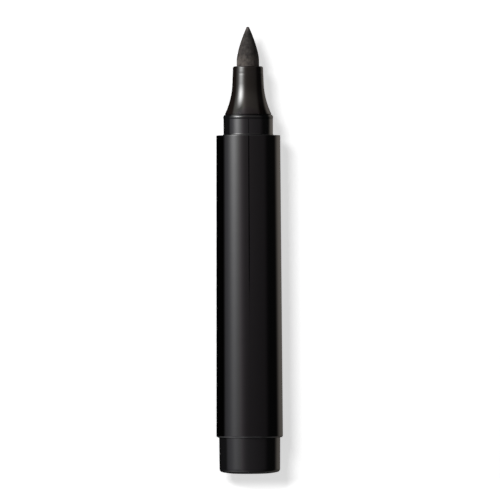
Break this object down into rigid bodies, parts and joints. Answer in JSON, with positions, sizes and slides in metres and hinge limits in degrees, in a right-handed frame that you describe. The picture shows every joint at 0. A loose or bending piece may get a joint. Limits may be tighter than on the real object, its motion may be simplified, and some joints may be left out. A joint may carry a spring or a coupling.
{
  "type": "liquid eyeliner pen",
  "caption": "Thick uncapped liquid eyeliner pen with a pointed felt nib, concave nose cone, cap collar, plain gloss barrel, ink tank, finned collector, wick and loose mixing balls.",
  "frame": {"origin": "centre of the end plug's underside, on the surface that the pen stands on", "axes": "+Z along the pen's axis, up towards the nib; +X through the first mixing ball; +Y completes the right-handed frame"},
  "size_m": [0.016, 0.016, 0.1075],
  "materials": {
    "felt": "ink-soaked bonded polyester fibre, matt",
    "nose_plastic": "polished black moulded plastic",
    "barrel_plastic": "gloss black moulded plastic, plain, no print",
    "plug_plastic": "gloss black moulded plastic",
    "holder_plastic": "natural moulded acetal",
    "collector_plastic": "natural moulded ABS, ink-stained",
    "wick_fibre": "ink-soaked bonded fibre rod",
    "tank_plastic": "natural translucent polypropylene",
    "seal_rubber": "black nitrile rubber",
    "ball_steel": "polished stainless steel"
  },
  "bodies": {
    "pen": {"barrel": "barrel_plastic", "end_plug": "plug_plastic", "nose_cone": "nose_plastic", "nib": "felt", "nib_holder": "holder_plastic", "nose_seal": "seal_rubber", "collector": "collector_plastic", "relay_wick": "wick_fibre", "ink_tank": "tank_plastic", "tank_plug": "tank_plastic", "tank_plug_seal": "seal_rubber"},
    "ball_1": {"mixing_ball_1": "ball_steel"},
    "ball_2": {"mixing_ball_2": "ball_steel"}
  },
  "joints": [
    {"name": "ball_1_run", "type": "slide", "parent": "pen", "child": "ball_1", "axis": [0, 0, 1], "range_m": [0, 0.0361]},
    {"name": "ball_2_run", "type": "slide", "parent": "pen", "child": "ball_2", "axis": [0, 0, 1], "range_m": [0, 0.0361]}
  ]
}
